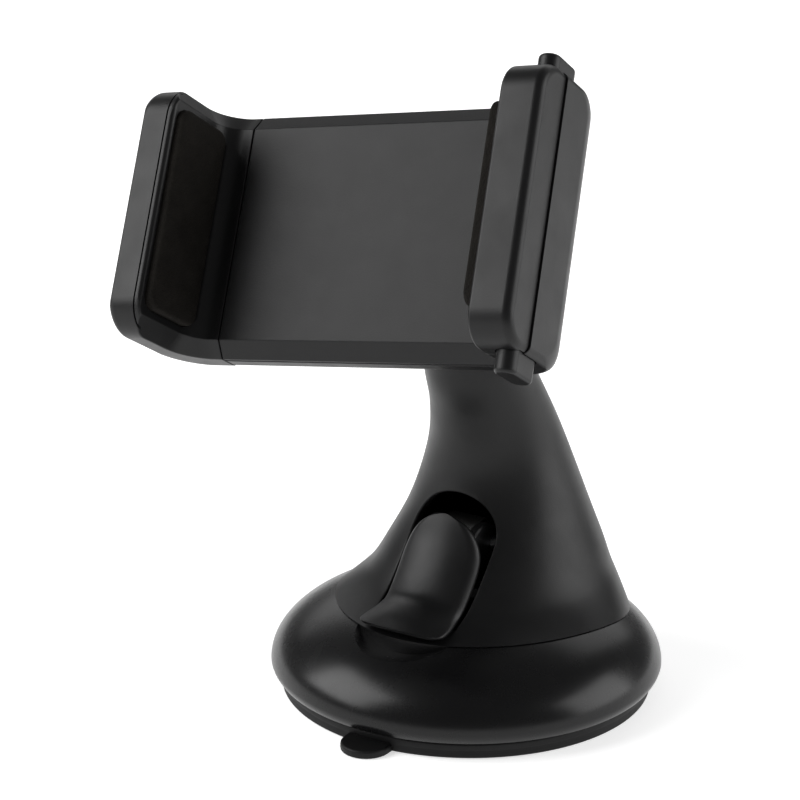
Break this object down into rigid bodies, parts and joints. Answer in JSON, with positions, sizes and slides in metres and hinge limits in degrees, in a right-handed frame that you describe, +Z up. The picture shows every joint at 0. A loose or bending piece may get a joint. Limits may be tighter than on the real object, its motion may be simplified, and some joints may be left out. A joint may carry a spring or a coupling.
{
  "type": "car phone mount",
  "caption": "Phone mount for a dashboard or windscreen: suction base with a locking lever, swan neck, ball joint with a collar nut and a sliding cradle with release buttons",
  "frame": {"origin": "centre of the suction face, on the surface that the mount stands on", "axes": "+Z up, -Y the front, where the lock lever and the cradle face, +X to the right of somebody who looks at the mount's back"},
  "size_m": [0.0894, 0.0971, 0.1362],
  "materials": {
    "satin_black": "satin, finely textured",
    "gloss_black": "semi-gloss",
    "soft_touch": "matte soft-touch",
    "rubber": "matte",
    "foam": "closed-cell foam, matte",
    "nylon": "natural, satin",
    "steel": "zinc plated"
  },
  "bodies": {
    "base": {"suction_cup": "rubber", "base_ring": "gloss_black", "base_plate": "satin_black", "base_screws": "steel", "neck_shell": "satin_black", "cup_spring": "steel"},
    "plunger": {"pull_stem": "nylon", "lever_pin": "steel"},
    "lever": {"lock_lever": "satin_black"},
    "ball": {"ball_stud": "satin_black", "stud_circlip": "steel"},
    "liner": {"socket_liner": "nylon"},
    "cradle": {"ball_socket": "satin_black", "socket_screws": "steel", "rear_housing": "satin_black", "front_plate": "soft_touch", "housing_screws": "steel", "right_jaw_cap": "satin_black", "jaw_screws": "steel", "right_pad": "foam", "arm_spring": "steel", "release_springs": "steel"},
    "nut": {"ball_nut": "satin_black"},
    "arm": {"left_arm": "satin_black", "left_pad": "foam"},
    "button_upper": {"release_slider_upper": "satin_black"},
    "button_lower": {"release_slider_lower": "satin_black"}
  },
  "joints": [
    {"name": "lever_turn", "type": "hinge", "parent": "plunger", "child": "lever", "pos_m": [0, 0, 0.031], "axis": [-1, 0, 0], "range_deg": [0, 38]},
    {"name": "cup_pull", "type": "slide", "parent": "base", "child": "plunger", "axis": [0, 0, 1], "range_m": [-0.0024, 0], "deforming": ["cup_spring", "suction_cup"]},
    {"name": "ball_pan", "type": "hinge", "parent": "base", "child": "ball", "pos_m": [0, -0.0116, 0.0898], "axis": [0, -0.5446, 0.8387], "continuous": true},
    {"name": "ball_tilt", "type": "hinge", "parent": "ball", "child": "liner", "pos_m": [0, -0.0116, 0.0898], "axis": [-1, 0, 0], "range_deg": [-10, 60]},
    {"name": "cradle_spin", "type": "hinge", "parent": "liner", "child": "cradle", "pos_m": [0, -0.0116, 0.0898], "axis": [0, -0.8704, 0.4924], "continuous": true},
    {"name": "nut_turn", "type": "hinge", "parent": "cradle", "child": "nut", "pos_m": [0, -0.0116, 0.0898], "axis": [0, 0.8704, -0.4924], "range_deg": [0, 360]},
    {"name": "arm_slide", "type": "slide", "parent": "cradle", "child": "arm", "axis": [-0.99, -0.0694, -0.1226], "range_m": [0, 0.03], "deforming": ["arm_spring"]},
    {"name": "upper_button_press", "type": "slide", "parent": "cradle", "child": "button_upper", "axis": [0.1409, -0.4875, -0.8617], "range_m": [0, 0.003], "stiffness_N_per_m": 250, "springref_m": -0.002, "deforming": ["release_springs"]},
    {"name": "lower_button_press", "type": "slide", "parent": "cradle", "child": "button_lower", "axis": [-0.1409, 0.4875, 0.8617], "range_m": [0, 0.003], "stiffness_N_per_m": 250, "springref_m": -0.002, "deforming": ["release_springs"]}
  ],
  "couplings": [
    {"joint": "lever_turn", "follows": "cup_pull", "rad_per_m": -276.3}
  ]
}
